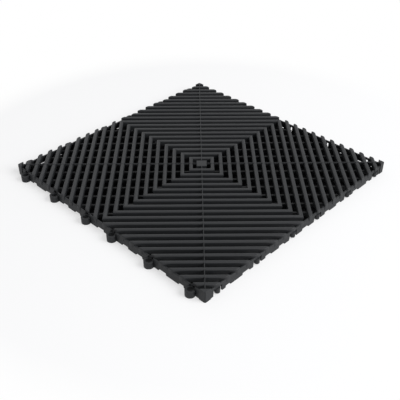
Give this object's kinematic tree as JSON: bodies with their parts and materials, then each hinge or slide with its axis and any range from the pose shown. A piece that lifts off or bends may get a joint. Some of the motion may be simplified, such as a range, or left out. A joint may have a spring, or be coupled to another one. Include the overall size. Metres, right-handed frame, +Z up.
{
  "type": "interlocking vented floor tile",
  "caption": "Square ribbed, open plastic floor tile that lets water through, with loops on two edges and pegs on the other two so that tiles clip together.",
  "frame": {"origin": "centre of the 400 mm square on the underside, loops and pegs left out of the square", "axes": "+Z up through the tread side; the edges run along X and Y, loops on -X and -Y, pegs on +X and +Y"},
  "size_m": [0.4108, 0.4108, 0.018],
  "materials": {
    "tile_plastic": "black moulded polypropylene, satin on the ribs and fine grained"
  },
  "bodies": {
    "root": {"quarter_pegs": "tile_plastic", "quarter_far": "tile_plastic", "quarter_loops": "tile_plastic", "quarter_near": "tile_plastic"}
  },
  "joints": []
}
